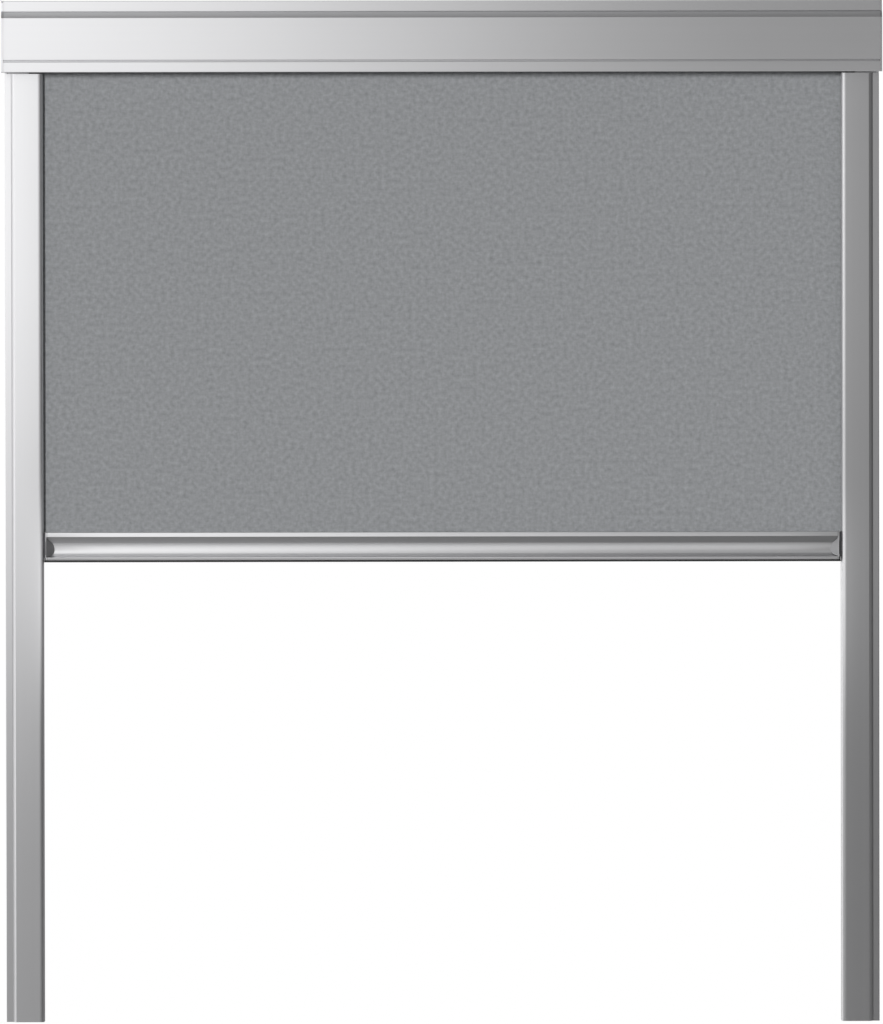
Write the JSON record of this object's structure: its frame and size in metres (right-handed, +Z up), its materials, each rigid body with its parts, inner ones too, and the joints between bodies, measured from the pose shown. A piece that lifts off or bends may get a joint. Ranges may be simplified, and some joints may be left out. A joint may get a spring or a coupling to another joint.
{
  "type": "cordless skylight roller blind",
  "caption": "Aluminium head, side rails and spring-loaded grey blackout cloth with a pull bar that stays where it is put.",
  "frame": {"origin": "middle of the head's back face, which lies on the window sash", "axes": "+Z up along the rails, +Y towards the glass (the back), -Y towards the room (the front), +X to the right seen from the room"},
  "size_m": [0.6166, 0.038, 0.7165],
  "materials": {
    "satin_aluminium": "satin anodised, fine lines along the extrusion",
    "mill_aluminium": "mill finish",
    "silver_plastic": "silver grey moulded plastic, fine texture",
    "dark_plastic": "dark grey moulded plastic",
    "natural_nylon": "natural nylon",
    "zinc_steel": "zinc plated steel",
    "spring_steel": "oiled spring steel",
    "black_felt": "black felt",
    "black_rubber": "black rubber lip",
    "grey_cloth": "fine grey blackout weave"
  },
  "bodies": {
    "frame": {"casing": "satin_aluminium", "front_cover": "satin_aluminium", "end_cap_left": "silver_plastic", "end_cap_right": "silver_plastic", "end_cap_screw_left_top": "zinc_steel", "end_cap_screw_left_rear": "zinc_steel", "end_cap_screw_right_top": "zinc_steel", "end_cap_screw_right_rear": "zinc_steel", "rail_left": "satin_aluminium", "rail_right": "satin_aluminium", "rail_plug_left": "dark_plastic", "rail_plug_right": "dark_plastic", "light_seal_left": "black_felt", "light_seal_right": "black_felt", "spring_shaft": "zinc_steel", "spring_collar": "natural_nylon", "torsion_spring": "spring_steel", "bearing_bush": "natural_nylon", "cloth_sheet": "grey_cloth"},
    "roller": {"roller_tube": "mill_aluminium", "cloth_lock_strip": "natural_nylon", "cloth_roll": "grey_cloth", "spring_crown": "natural_nylon", "spring_driver": "natural_nylon", "idle_plug": "natural_nylon", "idle_pin": "zinc_steel"},
    "bar": {"pull_bar": "satin_aluminium", "bar_cap_left": "silver_plastic", "bar_cap_right": "silver_plastic", "glide_left": "dark_plastic", "glide_right": "dark_plastic", "brake_shoe_left": "black_felt", "brake_shoe_right": "black_felt", "brake_spring_left": "spring_steel", "brake_spring_right": "spring_steel", "hem_rod": "zinc_steel", "bottom_seal": "black_rubber"}
  },
  "joints": [
    {"name": "bar_slide", "type": "slide", "parent": "frame", "child": "bar", "axis": [0, 0, 1], "range_m": [-0.3198, 0.3216], "deforming": ["cloth_sheet"]},
    {"name": "roller_spin", "type": "hinge", "parent": "frame", "child": "roller", "pos_m": [0, -0.0236, 0.002], "axis": [1, 0, 0], "range_deg": [-1660, 1670]}
  ],
  "couplings": [
    {"joint": "roller_spin", "follows": "bar_slide", "rad_per_m": 89.93}
  ]
}
